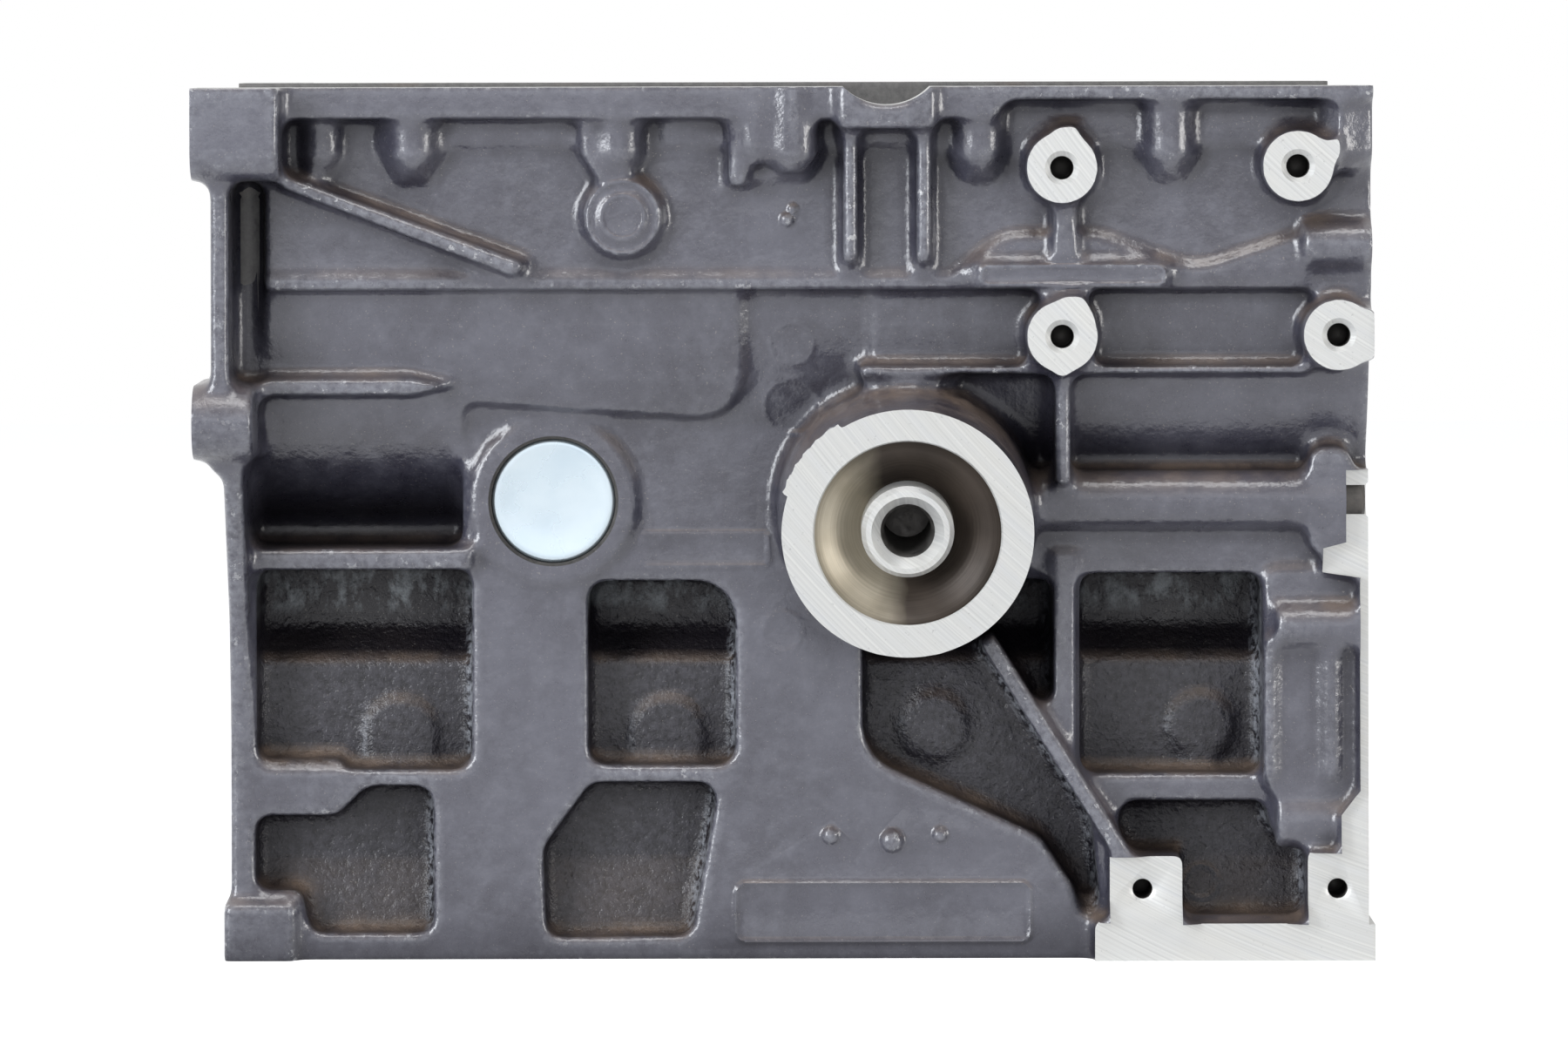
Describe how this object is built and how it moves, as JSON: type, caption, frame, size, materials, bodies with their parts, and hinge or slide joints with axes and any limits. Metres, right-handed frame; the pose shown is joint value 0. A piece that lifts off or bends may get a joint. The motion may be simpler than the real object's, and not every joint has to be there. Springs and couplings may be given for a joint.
{
  "type": "engine block",
  "caption": "Bare inline engine block in painted cast iron with main bearing caps, core plugs, pocketed side walls and machined flanges.",
  "frame": {"origin": "on the deck face and the crank plane, midway between cylinders 2 and 3", "axes": "+X along the crankshaft to the timing end, -Y to the oil filter side, +Z from the deck to the pan rail"},
  "size_m": [0.358, 0.236, 0.267],
  "materials": {
    "block_iron": "dark blue grey semi-gloss paint on cast skin, machined faces bare",
    "cap_iron": "bare, as cast with machined faces",
    "bolt_steel": "phosphated",
    "plug_zinc": "bright zinc"
  },
  "bodies": {
    "root": {"cylinder_block": "block_iron", "main_cap_1": "cap_iron", "main_cap_2": "cap_iron", "main_cap_3": "cap_iron", "main_cap_4": "cap_iron", "main_cap_5": "cap_iron", "main_cap_bolt_1_front": "bolt_steel", "main_cap_bolt_1_far": "bolt_steel", "main_cap_bolt_2_front": "bolt_steel", "main_cap_bolt_2_far": "bolt_steel", "main_cap_bolt_3_front": "bolt_steel", "main_cap_bolt_3_far": "bolt_steel", "main_cap_bolt_4_front": "bolt_steel", "main_cap_bolt_4_far": "bolt_steel", "main_cap_bolt_5_front": "bolt_steel", "main_cap_bolt_5_far": "bolt_steel", "core_plug_front": "plug_zinc", "core_plug_far_1": "plug_zinc", "core_plug_far_2": "plug_zinc", "core_plug_far_3": "plug_zinc", "core_plug_rear": "plug_zinc", "gallery_plug": "bolt_steel"}
  },
  "joints": []
}
